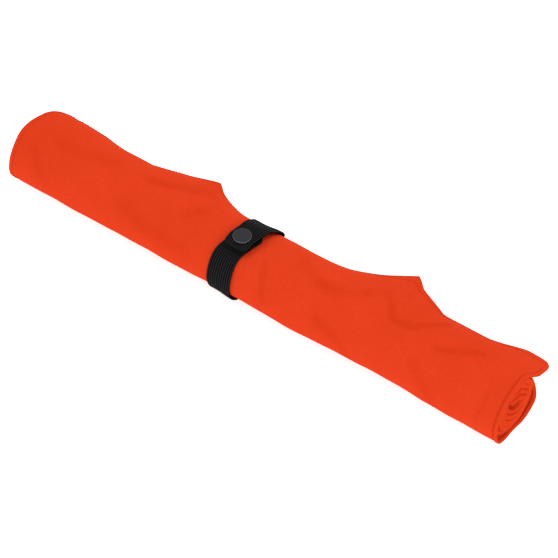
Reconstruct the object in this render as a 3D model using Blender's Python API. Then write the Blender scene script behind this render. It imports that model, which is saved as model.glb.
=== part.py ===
"""Fire blanket: a hemmed sheet of coated cloth, rolled up and held by an elastic snap strap.

Frame: X runs along the roll, -Y is the front, +Z is up. The origin is on the resting face,
under the middle of the roll. A place on the roll is given by its angle about the roll's axis,
in degrees: 0 is the front, 90 the top, 180 the back and 270 the bottom.

The sheet is wound inwards from its free edge, which lies at the back, over the top, down the
front, and round again. The strap is one band of elastic. It is drawn as three solids, divided
where it bends when it is opened, and the two bends are its hinges.
"""
import math

import bmesh
import bpy
import numpy as np

# --- Fits -----------------------------------------------------------------
GAP = 0.0003                # between cloth, thread and strap
SNAP_GAP = 0.0002           # between the riveted pieces of the snap

# --- Blanket sheet --------------------------------------------------------
SHEET_WIDTH = 0.465         # along the roll, from hem to hem
ROLL_RADIUS = 0.0305        # outer face of the outermost turn
CLOTH = 0.0010              # the sheet's thickness
TURNS = 6.0                 # from the free edge to the inner edge
CORE_RADIUS = 0.0070        # outer face of the innermost turn, at the inner edge
REST_SAG = 0.0012           # how far the roll is flattened where it rests
INNER_TURNS_DROP = 0.0054   # outermost turn's face down to the first loose inner turn's
INNER_RECESS = 0.0046       # the inner turns end this far inside the roll's ends

# --- Hems and their threads -----------------------------------------------
HEM_WIDTH = 0.0030
HEM_THICKNESS = 0.0020
THREAD = 0.0005

# --- Free edge ------------------------------------------------------------
FREE_EDGE_ANGLE = 168.0     # where the free edge lies against the roll
FLAP_START_ANGLE = 80.0     # from here to the edge, the sheet can stand off the roll
TIP_PULL_ANGLE = 28.0       # a full-height tip ends this much nearer the top
# Each tip: its place along X, its height off the roll, its slow rise and its steep drop.
LEFT_TIP = {"x": -0.075, "height": 0.0130, "rise": 0.050, "rise_power": 1.0, "drop": 0.025, "drop_power": 1.8}
MIDDLE_TIP = {"x": 0.112, "height": 0.0240, "rise": 0.080, "rise_power": 1.6, "drop": 0.046, "drop_power": 1.9}
RIGHT_CORNER_HEIGHT = 0.0130
RIGHT_CORNER_X = 0.217      # from here to the end the corner stands at its full height
RIGHT_CORNER_RISE = 0.037
BETWEEN_TIPS_HEIGHT = 0.0067
RIGHT_TONGUE = 0.0050       # the right corner reaches past the end of the roll
LEFT_ROUNDING = 0.0080      # the left corner stays inside the end of the roll
CORNER_REACH = 0.045        # both corners blend into the straight end over this length

# --- Elastic strap --------------------------------------------------------
STRAP_X = -0.0273           # middle of the strap at the roll's front
STRAP_LEAN = 0.0076         # it lies this far to +X where it comes over the top
STRAP_WIDTH = 0.022
STRAP = 0.0010              # thickness of the elastic
PRESSED_MARGIN = 0.0018     # the roll is pressed in this far beside the strap
PRESSED_SLOPE = 0.0030      # and rises to its full size again over this length
STRAP_STATIONS = 17         # grid lines of the sheet under the strap
STITCH_DIP = 0.0005         # a line of stitches pulls the elastic in by this much
STITCH_HALF_ANGLE = 1.0     # half the width of that dip, round the roll
TAB_CORNER = 0.0045         # radius of the tab's two free corners
SNAP_TILT = 5.0             # the tab and the snap lean back by this much from the roll's radius
TAB_FLAT_ANGLE = 12.5       # the tab is flat from its free end to this far behind the snap
SNAP_DENT = 0.0015          # the snap presses the strap's end into the roll by this much

# --- Angles of the strap's features ---------------------------------------
LEAN_START_ANGLE = 45.0         # the strap starts to lean here, and leans no more at
LEAN_END_ANGLE = 115.0
UNDER_LEAN_SPAN = 90.0          # behind the strap's bend the lean is undone within this angle
DENT_ANGLES = (55.0, 75.0, 88.0, 108.0)     # the dent under the snap starts, is full, ends
SNAP_ANGLE = 79.5
TAB_END_ANGLE = 64.0
TAB_STITCH_ANGLE = 94.5
TAB_DOUBLE_END_ANGLE = 97.5     # the folded-under layer ends here
STUD_END_ANGLE = 92.0           # the strap's other end lies under the tab up to here
TAB_HINGE_ANGLE = 101.5
LANDING_ANGLE = 126.0           # the strap comes down onto the roll again here
STRAP_HINGE_ANGLE = 150.0
TACK_ANGLES = {"upper": 226.0, "lower": 240.0}

# --- Snap fastener, line 24: radii and heights above the strap's inner face ---
SNAP_SIDES = 24
STUD_FLANGE = 0.0044
STUD_FLANGE_THICKNESS = 0.00025
STUD_NECK = 0.0021
STUD_HEAD = 0.0030
STUD_HEIGHT = 0.0020        # from the elastic's outer face to the stud's top
POST_FLANGE = 0.0040
POST_FLANGE_THICKNESS = 0.00025
POST = 0.0010
SOCKET_RADIUS = 0.0062
SOCKET_MOUTH = 0.0043       # wide enough to lift off the stud as the strap swings
SOCKET_GROOVE = 0.0049
SOCKET_ROOF = 0.00035
SOCKET_LIFT = 0.0004        # the socket's rim runs this far above the stud's flange top
SPRING_WIRE = 0.0004
SPRING_LIFT = 0.0005        # from the socket's rim to the middle of the wire
SPRING_LEG_OFFSET = 0.00265
CAP_RADIUS = 0.0075
CAP_THICKNESS = 0.0012
CAP_POST = 0.0014
CAP_FLARE = 0.0026
CAP_FLARE_THICKNESS = 0.00025

# --- Sizes that follow from the ones above --------------------------------
AXIS_Z = ROLL_RADIUS - REST_SAG
HALF_WIDTH = SHEET_WIDTH / 2
EDGE = HEM_WIDTH + THREAD + 2 * GAP         # a hem, its thread and their gaps
FIRST_TURN_DROP = HEM_THICKNESS + 2 * GAP   # room for the free edge's hem over the next turn
STRAP_BASE = ROLL_RADIUS + GAP              # radius of the strap's inner face
STRAP_GROOVE = STRAP + 2 * GAP              # the strap passes under the roll in this much room
POST_BASE = POST_FLANGE * math.sin(math.radians(SNAP_TILT)) / 2
STUD_BASE = STRAP + GAP + STUD_FLANGE * math.sin(math.radians(SNAP_TILT)) / 2
STUD_TOP = STUD_BASE + STUD_HEIGHT
FLARE_BASE = STUD_TOP + SNAP_GAP
ROOF_BASE = FLARE_BASE + CAP_FLARE_THICKNESS + SNAP_GAP
TAB_BASE = ROOF_BASE + SOCKET_ROOF + SNAP_GAP
TAB_TOP = TAB_BASE + 2 * STRAP
CAP_BASE = TAB_TOP + SNAP_GAP
SOCKET_BASE = STUD_BASE + SOCKET_LIFT
SPRING_HEIGHT = SOCKET_BASE + SPRING_LIFT


def clear_scene():
    for obj in list(bpy.data.objects):
        bpy.data.objects.remove(obj, do_unlink=True)


def material(name, red, green, blue, roughness, metallic=0.0):
    made = bpy.data.materials.new(name)
    made.use_nodes = True
    shader = made.node_tree.nodes["Principled BSDF"]
    shader.inputs["Base Color"].default_value = (red, green, blue, 1.0)
    shader.inputs["Roughness"].default_value = roughness
    shader.inputs["Metallic"].default_value = metallic
    return made


def add_object(name, mesh, finish):
    mesh.materials.append(finish)
    obj = bpy.data.objects.new(name, mesh)
    bpy.context.scene.collection.objects.link(obj)
    return obj


def smoothstep(value):
    value = np.clip(value, 0.0, 1.0)
    return value * value * (3.0 - 2.0 * value)


def slab(name, outer, inner, finish):
    """A closed solid between two grids of points, outer and inner, of the same shape."""
    rows, columns = outer.shape[:2]
    bm = bmesh.new()
    faces = [[[bm.verts.new(point) for point in row] for row in grid] for grid in (outer, inner)]
    top, bottom = faces
    for i in range(rows - 1):
        for j in range(columns - 1):
            for grid in (top, bottom):
                bm.faces.new((grid[i][j], grid[i + 1][j], grid[i + 1][j + 1], grid[i][j + 1]))
    for i in range(rows - 1):
        for j in (0, columns - 1):
            bm.faces.new((top[i][j], top[i + 1][j], bottom[i + 1][j], bottom[i][j]))
    for j in range(columns - 1):
        for i in (0, rows - 1):
            bm.faces.new((top[i][j], top[i][j + 1], bottom[i][j + 1], bottom[i][j]))
    bmesh.ops.recalc_face_normals(bm, faces=bm.faces)
    mesh = bpy.data.meshes.new(name)
    bm.to_mesh(mesh)
    bm.free()
    mesh.shade_smooth()
    mesh.set_sharp_from_angle(angle=math.radians(40))
    return add_object(name, mesh, finish)


# --- The rolled sheet -------------------------------------------------------
def tip_height(x, tip):
    """Height off the roll of one tip: a slow rise from the left, then a steep hollow drop."""
    rise = np.clip(1 + (x - tip["x"]) / tip["rise"], 0, 1) ** tip["rise_power"]
    drop = np.clip(1 - (x - tip["x"]) / tip["drop"], 0, 1) ** tip["drop_power"]
    return tip["height"] * np.where(x < tip["x"], rise, drop)


def edge_height(x):
    """How far the free edge stands off the roll."""
    corner_rise = smoothstep((x - RIGHT_CORNER_X) / RIGHT_CORNER_RISE + 1)
    corner = BETWEEN_TIPS_HEIGHT + (RIGHT_CORNER_HEIGHT - BETWEEN_TIPS_HEIGHT) * corner_rise
    corner = np.where(x < MIDDLE_TIP["x"], 0, corner)
    return np.maximum(np.maximum(tip_height(x, LEFT_TIP), tip_height(x, MIDDLE_TIP)), corner)


def edge_angle(x):
    return FREE_EDGE_ANGLE - TIP_PULL_ANGLE * edge_height(x) / MIDDLE_TIP["height"]


def turn_radius(angle):
    """Outer face radius of the winding: level for most of a turn, then loose and spiralling in."""
    turn = (FREE_EDGE_ANGLE - angle) / 360
    turns = (0, 0.88, 1.0, 1.2, TURNS)
    first = ROLL_RADIUS - FIRST_TURN_DROP
    radii = (ROLL_RADIUS, ROLL_RADIUS, first, ROLL_RADIUS - INNER_TURNS_DROP, CORE_RADIUS)
    return np.interp(turn, turns, radii)


def strap_middle(angle):
    """Where the strap's middle lies along X: it leans to +X over the top and back under the roll."""
    angle = np.mod(angle, 360)
    over = smoothstep((angle - LEAN_START_ANGLE) / (LEAN_END_ANGLE - LEAN_START_ANGLE))
    under = smoothstep((angle - STRAP_HINGE_ANGLE) / UNDER_LEAN_SPAN)
    return STRAP_X + STRAP_LEAN * (over - under)


def snap_dent(angle):
    """How far the snap presses the strap's end and the roll in, at each angle."""
    start, full, leave, end = DENT_ANGLES
    return SNAP_DENT * smoothstep((angle - start) / (full - start)) * smoothstep((end - angle) / (end - leave))


def pressed(x, angle):
    """One where the strap lies on the roll, and zero away from it."""
    beside = np.abs(x - strap_middle(angle)) - STRAP_WIDTH / 2 - PRESSED_MARGIN
    return np.clip(1 - beside / PRESSED_SLOPE, 0, 1)


def sheet_point(across, angle, depth):
    """A point of the rolled sheet, at a depth under its outer face. Takes whole grids."""
    flap = np.clip((angle - FLAP_START_ANGLE) / (edge_angle(across) - FLAP_START_ANGLE), 0, None)
    radius = turn_radius(angle) + edge_height(across) * flap ** 2 - depth
    near_end = np.clip((np.abs(across) - HALF_WIDTH) / CORNER_REACH + 1, 0, 1)
    tongue = RIGHT_TONGUE * smoothstep((angle - 105) / 40) * (across > 0)
    rounding = LEFT_ROUNDING * smoothstep((angle - 60) / 90) * (across < 0)
    inner = smoothstep((FREE_EDGE_ANGLE - angle) / 360 * 4 - 3.8)
    x = across * (1 - INNER_RECESS / HALF_WIDTH * inner) + near_end * (tongue + rounding)
    radius = radius - snap_dent(angle) * pressed(x, angle)
    y = -radius * np.cos(np.radians(angle))
    z = AXIS_Z + radius * np.sin(np.radians(angle))
    z = np.maximum(z, STRAP_GROOVE * pressed(x, angle) + depth)
    return np.stack([x, y, z], axis=-1)


def winding_angles():
    """The angles from the flap's start down to the inner edge: fine outside, coarser inside."""
    flat = math.degrees(math.acos(AXIS_Z / ROLL_RADIUS))
    front = np.linspace(FLAP_START_ANGLE, -90 + flat, 12)
    rest = np.linspace(-90 + flat, -90 - flat, 5)[1:]
    back_end = FREE_EDGE_ANGLE - 360 * 1.2
    back = np.linspace(-90 - flat, back_end, 11)[1:]
    inside = np.linspace(back_end, inner_edge_angle(EDGE), 49)[1:]
    return np.concatenate([front, rest, back, inside])


def inner_edge_angle(distance):
    """The winding angle at a distance along the cloth from the inner edge."""
    return FREE_EDGE_ANGLE - 360 * TURNS + math.degrees(distance / (CORE_RADIUS - CLOTH / 2))


def free_edge_angles(across, distances):
    """The winding angles at distances along the cloth from the free edge, for each place across."""
    return edge_angle(across) - np.degrees(distances / ROLL_RADIUS)


def across_stations():
    """Places across the sheet: close together at the tips and under the strap."""
    end = HALF_WIDTH - EDGE
    reach = STRAP_WIDTH / 2 + PRESSED_MARGIN + PRESSED_SLOPE
    strap = list(np.linspace(STRAP_X - reach, STRAP_X + STRAP_LEAN + reach, STRAP_STATIONS))
    left = [LEFT_TIP["x"] + step for step in (-0.075, -0.050, -0.025, -0.010, 0, 0.007, 0.014)]
    right = [MIDDLE_TIP["x"] + step for step in (-0.080, -0.050, -0.025, -0.010, 0, 0.008, 0.020, 0.045)]
    corner = [RIGHT_CORNER_X - RIGHT_CORNER_RISE, RIGHT_CORNER_X - RIGHT_CORNER_RISE / 2, RIGHT_CORNER_X]
    ends = [-end, -end + CORNER_REACH, end]
    return np.array(sorted(strap + left + right + corner + ends))


def sheet_grid(across, free_distance):
    """Grids of across and angle over the winding, from a distance inside the free edge."""
    flap_steps = np.linspace(0, 1, 10)[:-1]
    start = free_edge_angles(across, free_distance)
    flap = start[None, :] + (FLAP_START_ANGLE - start[None, :]) * flap_steps[:, None]
    rest = np.repeat(winding_angles()[:, None], len(across), axis=1)
    angles = np.concatenate([flap, rest])
    return np.broadcast_to(across, angles.shape), angles


def make_sheet(finish):
    across, angle = sheet_grid(across_stations(), EDGE)
    slab("blanket_sheet", sheet_point(across, angle, 0), sheet_point(across, angle, CLOTH), finish)


def make_end_strip(name, across_from, across_to, thickness, finish):
    """A hem or thread along one end of the roll, following every turn."""
    across, angle = sheet_grid(np.array([across_from, across_to]), EDGE)
    slab(name, sheet_point(across, angle, 0), sheet_point(across, angle, thickness), finish)


def make_edge_strip(name, angles, across, thickness, finish):
    """A hem or thread along the free edge or the inner edge, between two lines of angles."""
    across = np.broadcast_to(across, angles.shape)
    slab(name, sheet_point(across, angles, 0), sheet_point(across, angles, thickness), finish)


def make_hems(cloth, thread):
    hem_line = HALF_WIDTH - HEM_WIDTH
    thread_line = hem_line - GAP
    for name, side in (("right_end", 1), ("left_end", -1)):
        make_end_strip("hem_" + name, side * hem_line, side * HALF_WIDTH, HEM_THICKNESS, cloth)
        make_end_strip("thread_" + name, side * (thread_line - THREAD), side * thread_line, THREAD, thread)
    across = np.concatenate([[-HALF_WIDTH], across_stations(), [HALF_WIDTH]])
    hem = np.array([0, HEM_WIDTH])[:, None]
    seam = np.array([HEM_WIDTH + GAP, HEM_WIDTH + GAP + THREAD])[:, None]
    make_edge_strip("hem_free_edge", free_edge_angles(across, hem), across, HEM_THICKNESS, cloth)
    make_edge_strip("thread_free_edge", free_edge_angles(across, seam), across, THREAD, thread)
    ends = np.array([-HALF_WIDTH, HALF_WIDTH])
    for name, distances, thickness, finish in (("hem", hem, HEM_THICKNESS, cloth), ("thread", seam, THREAD, thread)):
        angles = np.array([[inner_edge_angle(d), inner_edge_angle(d)] for d in distances[:, 0]])
        make_edge_strip(name + "_inner_edge", angles, ends, thickness, finish)


# --- The strap --------------------------------------------------------------
def strap_point(across, angle, height):
    """A point at a height above the strap's inner face. Takes whole grids."""
    radius = STRAP_BASE + height
    x = strap_middle(angle) + across
    y = -radius * np.cos(np.radians(angle))
    z = AXIS_Z + radius * np.sin(np.radians(angle))
    z = np.maximum(z, GAP + STRAP - height)
    return np.stack([x, y, z], axis=-1)


def tab_rise(angle):
    """How much higher than an arc the tab lies: it is flat over the snap, and leans with it."""
    flat = np.minimum(angle, SNAP_ANGLE + TAB_FLAT_ANGLE)
    lean = np.radians(SNAP_TILT)
    plane = np.cos(lean) / np.cos(np.radians(flat - SNAP_ANGLE) - lean)
    return (STRAP_BASE + TAB_BASE) * (plane - 1) - SNAP_DENT


def stitched(angle, top, stitch_angles):
    """The strap's outer height, pulled in along each line of stitches."""
    for centre in stitch_angles:
        dip = np.clip(2 - np.abs(angle - centre) / STITCH_HALF_ANGLE, 0, 1)
        top = top - STITCH_DIP * dip
    return top


def stitch_stations(centre):
    return [centre + step * STITCH_HALF_ANGLE for step in (-2, -1, 1, 2)]


def band(name, angles, bottom, top, half_width, finish):
    """A length of strap: its inner and outer heights and half width are given at each angle."""
    across = np.stack([-half_width, half_width], axis=1)
    grid = np.repeat(angles[:, None], 2, axis=1)
    outer = strap_point(across, grid, np.repeat(top[:, None], 2, axis=1))
    inner = strap_point(across, grid, np.repeat(bottom[:, None], 2, axis=1))
    return slab(name, outer, inner, finish)


def hinge_clearance(height):
    """Half of the gap left at a hinge, as an angle."""
    return math.degrees(GAP / 2 / (STRAP_BASE + height))


def make_wrap(finish):
    """The fixed length: from the stud's end down the front, under the roll and up the back."""
    end = STRAP_HINGE_ANGLE + hinge_clearance(STRAP)
    tacks = [angle for centre in TACK_ANGLES.values() for angle in stitch_stations(centre)]
    round_roll = np.linspace(STUD_END_ANGLE + 360, end, 50)
    angles = np.array(sorted(list(round_roll) + tacks))
    dent = snap_dent(angles - 360)
    top = stitched(angles, STRAP - dent, TACK_ANGLES.values())
    return band("strap_wrap", angles, -dent, top, np.full_like(angles, STRAP_WIDTH / 2), finish)


def make_link(finish):
    """The length that lifts off the top of the roll, down from the tab's level to the roll."""
    start = TAB_HINGE_ANGLE + hinge_clearance(TAB_TOP)
    end = STRAP_HINGE_ANGLE - hinge_clearance(STRAP)
    angles = np.linspace(start, end, 15)
    fall = smoothstep((LANDING_ANGLE - angles) / (LANDING_ANGLE - TAB_HINGE_ANGLE))
    bottom = (TAB_TOP + tab_rise(TAB_HINGE_ANGLE) - STRAP) * fall
    return band("strap_link", angles, bottom, bottom + STRAP, np.full_like(angles, STRAP_WIDTH / 2), finish)


def make_tab(finish):
    """The free end, folded under itself and stitched, with two rounded corners."""
    radius = STRAP_BASE + TAB_TOP
    corner_steps = TAB_CORNER * (1 - np.cos(np.radians((0, 22, 45, 67, 90))))
    corner = TAB_END_ANGLE + np.degrees(corner_steps / radius)
    end = TAB_HINGE_ANGLE - hinge_clearance(TAB_TOP)
    fold_end = [TAB_DOUBLE_END_ANGLE, TAB_DOUBLE_END_ANGLE + STITCH_HALF_ANGLE]
    middle = np.linspace(corner[-1], TAB_STITCH_ANGLE, 8)[1:-1]
    angles = np.array(sorted(list(corner) + list(middle) + stitch_stations(TAB_STITCH_ANGLE) + fold_end + [end]))
    from_end = np.radians(angles - TAB_END_ANGLE) * radius
    inset = TAB_CORNER - np.sqrt(TAB_CORNER ** 2 - np.clip(TAB_CORNER - from_end, 0, None) ** 2)
    half_width = STRAP_WIDTH / 2 - inset
    rise = tab_rise(angles)
    top = stitched(angles, TAB_TOP + rise, [TAB_STITCH_ANGLE])
    bottom = np.where(angles > TAB_DOUBLE_END_ANGLE, TAB_BASE + STRAP, TAB_BASE) + rise
    return band("strap_tab", angles, bottom, top, half_width, finish)


def make_stitch(name, angle, top, finish):
    """A row of stitches across the strap, lying in its dip."""
    half_angle = math.degrees(THREAD / 2 / (STRAP_BASE + top))
    angles = np.array([angle - half_angle, angle + half_angle])
    bottom = np.full_like(angles, top - STITCH_DIP + GAP)
    width = np.full_like(angles, STRAP_WIDTH / 2 - 2 * THREAD)
    return band(name, angles, bottom, bottom + THREAD, width, finish)


# --- The snap fastener --------------------------------------------------------
def on_snap_axis(obj):
    """Stand a piece on the snap's axis, with heights measured from the strap's inner face."""
    obj.location = strap_point(0.0, SNAP_ANGLE, -SNAP_DENT)
    obj.rotation_euler = (math.radians(90 - SNAP_ANGLE - SNAP_TILT), 0, 0)
    return obj


def turned(name, profile, finish, closed):
    """A solid of revolution. The profile's points are (radius, height)."""
    bm = bmesh.new()
    verts = [bm.verts.new((radius, 0, height)) for radius, height in profile]
    pairs = list(zip(verts, verts[1:]))
    if closed:
        pairs.append((verts[-1], verts[0]))
    edges = [bm.edges.new(pair) for pair in pairs]
    bmesh.ops.spin(bm, geom=verts + edges, cent=(0, 0, 0), axis=(0, 0, 1), angle=math.tau,
                   steps=SNAP_SIDES, use_merge=True)
    bmesh.ops.remove_doubles(bm, verts=bm.verts, dist=1e-6)
    bmesh.ops.recalc_face_normals(bm, faces=bm.faces)
    mesh = bpy.data.meshes.new(name)
    bm.to_mesh(mesh)
    bm.free()
    mesh.shade_smooth()
    mesh.set_sharp_from_angle(angle=math.radians(35))
    return on_snap_axis(add_object(name, mesh, finish))


def cut_hole(obj, name, radius, low, high):
    """Drill a round hole on the snap's axis between two heights."""
    bm = bmesh.new()
    bmesh.ops.create_cone(bm, cap_ends=True, segments=SNAP_SIDES, radius1=radius, radius2=radius, depth=high - low)
    bmesh.ops.translate(bm, verts=bm.verts, vec=(0, 0, (low + high) / 2))
    mesh = bpy.data.meshes.new(name)
    bm.to_mesh(mesh)
    bm.free()
    cutter = bpy.data.objects.new(name, mesh)
    bpy.context.scene.collection.objects.link(cutter)
    on_snap_axis(cutter)
    cutter.hide_render = True
    cutter.display_type = "WIRE"
    cut = obj.modifiers.new(name, "BOOLEAN")
    cut.operation = "DIFFERENCE"
    cut.object = cutter


def make_stud(finish):
    bore = POST + SNAP_GAP
    flange_top = STUD_BASE + STUD_FLANGE_THICKNESS
    head_base = SPRING_HEIGHT + SPRING_WIRE / 2 + SNAP_GAP
    profile = [(bore, STUD_BASE), (STUD_FLANGE, STUD_BASE), (STUD_FLANGE, flange_top), (STUD_NECK, flange_top),
               (STUD_NECK, head_base - SNAP_GAP), (STUD_HEAD, head_base),
               (STUD_HEAD, STUD_TOP - STUD_FLANGE_THICKNESS), (STUD_NECK, STUD_TOP), (bore, STUD_TOP)]
    return turned("snap_stud", profile, finish, closed=True)


def make_post(finish):
    """The eyelet under the strap: its flange lies in the elastic and its post fills the stud."""
    flange_top = POST_BASE + POST_FLANGE_THICKNESS
    top = STUD_TOP - STUD_FLANGE_THICKNESS
    profile = [(0, POST_BASE), (POST_FLANGE, POST_BASE), (POST_FLANGE, flange_top), (POST, flange_top),
               (POST, top), (0, top)]
    return turned("snap_post", profile, finish, closed=False)


def make_socket(finish):
    groove_low = SPRING_HEIGHT - SPRING_WIRE / 2 - SNAP_GAP / 2
    groove_high = SPRING_HEIGHT + SPRING_WIRE / 2 + SNAP_GAP / 2
    roof_top = ROOF_BASE + SOCKET_ROOF
    hole = CAP_POST + SNAP_GAP
    profile = [(SOCKET_MOUTH, SOCKET_BASE), (SOCKET_RADIUS, SOCKET_BASE), (SOCKET_RADIUS, roof_top),
               (hole, roof_top), (hole, ROOF_BASE), (SOCKET_MOUTH, ROOF_BASE), (SOCKET_MOUTH, groove_high),
               (SOCKET_GROOVE, groove_high), (SOCKET_GROOVE, groove_low), (SOCKET_MOUTH, groove_low)]
    return turned("snap_socket", profile, finish, closed=True)


def make_spring(finish):
    """A hairpin of wire in the socket's groove: two straight legs grip the stud's neck."""
    wire = SPRING_WIRE / 2
    bend_radius = SOCKET_GROOVE - wire - SNAP_GAP
    bend_angle = math.asin(SPRING_LEG_OFFSET / bend_radius)
    leg_end = math.sqrt((SOCKET_GROOVE - wire - SNAP_GAP) ** 2 - SPRING_LEG_OFFSET ** 2) - SNAP_GAP
    bend = [math.pi - bend_angle + 2 * bend_angle * step / 8 for step in range(9)]
    points = [(leg_end, SPRING_LEG_OFFSET)]
    points += [(bend_radius * math.cos(a), bend_radius * math.sin(a)) for a in bend]
    points += [(leg_end, -SPRING_LEG_OFFSET)]
    curve = bpy.data.curves.new("snap_spring", "CURVE")
    curve.dimensions = "3D"
    curve.bevel_depth = wire
    curve.bevel_resolution = 2
    curve.use_fill_caps = True
    spline = curve.splines.new("POLY")
    spline.points.add(len(points) - 1)
    for target, (x, y) in zip(spline.points, points):
        target.co = (x, y, SPRING_HEIGHT, 1.0)
    return on_snap_axis(add_object("snap_spring", curve, finish))


def make_cap(finish):
    """The cap with its post, which runs through the tab and is flared under the socket's roof."""
    flare_top = FLARE_BASE + CAP_FLARE_THICKNESS
    rim = CAP_THICKNESS / 4
    crown = CAP_BASE + CAP_THICKNESS
    profile = [(0, FLARE_BASE), (CAP_FLARE, FLARE_BASE), (CAP_FLARE, flare_top), (CAP_POST, flare_top),
               (CAP_POST, CAP_BASE), (CAP_RADIUS - rim, CAP_BASE), (CAP_RADIUS, CAP_BASE + rim),
               (CAP_RADIUS, crown - 2 * rim), (CAP_RADIUS - rim, crown - rim),
               (CAP_RADIUS - 3 * rim, crown - rim / 3), (0, crown)]
    return turned("snap_cap", profile, finish, closed=False)


# --- Assembly -----------------------------------------------------------------
def hinge_empty(name, angle, height):
    """An empty on a hinge's axis, which runs along X on the strap's outer face."""
    empty = bpy.data.objects.new(name, None)
    empty.location = strap_point(0.0, angle, height)
    bpy.context.scene.collection.objects.link(empty)
    return empty


def hang_on(parent, children):
    bpy.context.view_layer.update()
    for child in children:
        child.parent = parent
        child.matrix_parent_inverse = parent.matrix_world.inverted()


def main():
    clear_scene()
    cloth = material("coated_cloth", 0.83, 0.058, 0.016, 0.8)
    cloth_thread = material("orange_thread", 0.70, 0.040, 0.012, 0.8)
    elastic = material("black_elastic", 0.012, 0.013, 0.013, 0.85)
    strap_thread = material("black_thread", 0.015, 0.015, 0.016, 0.7)
    cap_metal = material("gunmetal", 0.058, 0.055, 0.06, 0.45, 0.6)
    plated_metal = material("plated_brass", 0.25, 0.25, 0.26, 0.35, 1.0)

    make_sheet(cloth)
    make_hems(cloth, cloth_thread)

    wrap = make_wrap(elastic)
    cut_hole(wrap, "post_hole", POST + GAP, -STRAP, 2 * STRAP)
    seat_top = POST_BASE + POST_FLANGE_THICKNESS + SNAP_GAP
    cut_hole(wrap, "flange_seat", POST_FLANGE + GAP, -STRAP, seat_top)
    for name, angle in TACK_ANGLES.items():
        make_stitch("strap_tack_" + name, angle, STRAP, strap_thread)
    make_stud(plated_metal)
    make_post(plated_metal)

    link = make_link(elastic)
    tab = make_tab(elastic)
    cut_hole(tab, "cap_post_hole", CAP_POST + GAP, TAB_BASE - STRAP, TAB_TOP + STRAP)
    stitch_top = TAB_TOP + tab_rise(TAB_STITCH_ANGLE)
    stitch = make_stitch("tab_stitch", TAB_STITCH_ANGLE, stitch_top, strap_thread)
    on_tab = [tab, stitch, make_cap(cap_metal), make_socket(plated_metal), make_spring(plated_metal)]

    strap_axis = hinge_empty("strap_open_axis", STRAP_HINGE_ANGLE, STRAP)
    tab_axis = hinge_empty("tab_peel_axis", TAB_HINGE_ANGLE, TAB_TOP + tab_rise(TAB_HINGE_ANGLE))
    hang_on(strap_axis, [link, tab_axis])
    hang_on(tab_axis, on_tab)


main()
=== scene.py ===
# %% [markdown]
# # A rolled fire blanket
#
# A fire blanket is one sheet of glass cloth with a matt silicone coating. Its edges are turned
# over and sewn. It is rolled into a tube and held by a band of black elastic, closed by a press
# fastener. The solids made elsewhere say where everything is and how the strap opens. This
# script makes the surfaces that are seen: cloth, seams, elastic and metal.

# %% The frame
import math

import bmesh
import bpy
import numpy as np
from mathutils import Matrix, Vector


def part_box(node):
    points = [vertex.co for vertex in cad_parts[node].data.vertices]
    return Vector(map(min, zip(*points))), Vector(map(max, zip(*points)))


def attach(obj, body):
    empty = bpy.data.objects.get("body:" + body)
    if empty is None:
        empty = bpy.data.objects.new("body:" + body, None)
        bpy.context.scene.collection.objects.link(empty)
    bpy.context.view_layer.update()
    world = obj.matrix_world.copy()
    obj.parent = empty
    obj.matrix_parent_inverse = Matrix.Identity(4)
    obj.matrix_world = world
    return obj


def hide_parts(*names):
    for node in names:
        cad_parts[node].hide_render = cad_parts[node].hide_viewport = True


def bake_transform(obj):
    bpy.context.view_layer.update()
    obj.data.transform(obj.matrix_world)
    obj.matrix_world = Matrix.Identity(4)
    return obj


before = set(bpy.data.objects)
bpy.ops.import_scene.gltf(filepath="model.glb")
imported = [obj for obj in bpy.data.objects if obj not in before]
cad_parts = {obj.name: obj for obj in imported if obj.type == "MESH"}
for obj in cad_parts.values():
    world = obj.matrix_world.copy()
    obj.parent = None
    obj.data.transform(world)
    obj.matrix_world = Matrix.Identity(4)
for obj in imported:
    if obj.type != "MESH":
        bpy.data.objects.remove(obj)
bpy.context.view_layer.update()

# %% [markdown]
# The camera stands in front of the roll, to the right of its middle and well above it, and so
# far away that the roll hardly narrows with distance. Its place follows from two angles and a
# distance, and its lens from the width that it has to see there.

# %% Camera
VIEW_AZIMUTH = 34.7  # degrees from straight in front, towards +X
VIEW_ELEVATION = 52.3
VIEW_DISTANCE = 4.84
VIEW_WIDTH = 0.4376  # what the picture is wide at the aim, in metres
VIEW_AIM = np.array([0.0078, 0.0, 0.0280])
SENSOR = 36.0

azimuth = math.radians(VIEW_AZIMUTH)
elevation = math.radians(VIEW_ELEVATION)
towards_camera = np.array([
    math.sin(azimuth) * math.cos(elevation),
    -math.cos(azimuth) * math.cos(elevation),
    math.sin(elevation),
])
camera_data = bpy.data.cameras.new("camera")
camera_data.sensor_width = SENSOR
camera_data.lens = SENSOR * VIEW_DISTANCE / VIEW_WIDTH
camera_data.clip_end = 50
camera = bpy.data.objects.new("camera", camera_data)
camera.location = VIEW_AIM + towards_camera * VIEW_DISTANCE
camera.rotation_euler = (math.pi / 2 - elevation, 0, azimuth)
bpy.context.scene.collection.objects.link(camera)
bpy.context.scene.camera = camera
print("lens", round(camera_data.lens, 1), "mm")

# %% [markdown]
# A plain studio: a pale floor, an even white sky, and two large soft lights, which give the cloth
# its matt look. The floor is a light table: it glows, so the roll hardly throws a shadow on it.

# %% Floor and lights
FLOOR_SIZE = 12.0
SKY_STRENGTH = 1.03
FLOOR_GLOW = 0.56


def linear(code):
    """An sRGB hex colour as linear red, green, blue and alpha: c/12.92, or ((c+0.055)/1.055)^2.4."""
    parts = [int(code[i:i + 2], 16) / 255 for i in (1, 3, 5)]
    return [c / 12.92 if c <= 0.04045 else ((c + 0.055) / 1.055) ** 2.4 for c in parts] + [1.0]


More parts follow.
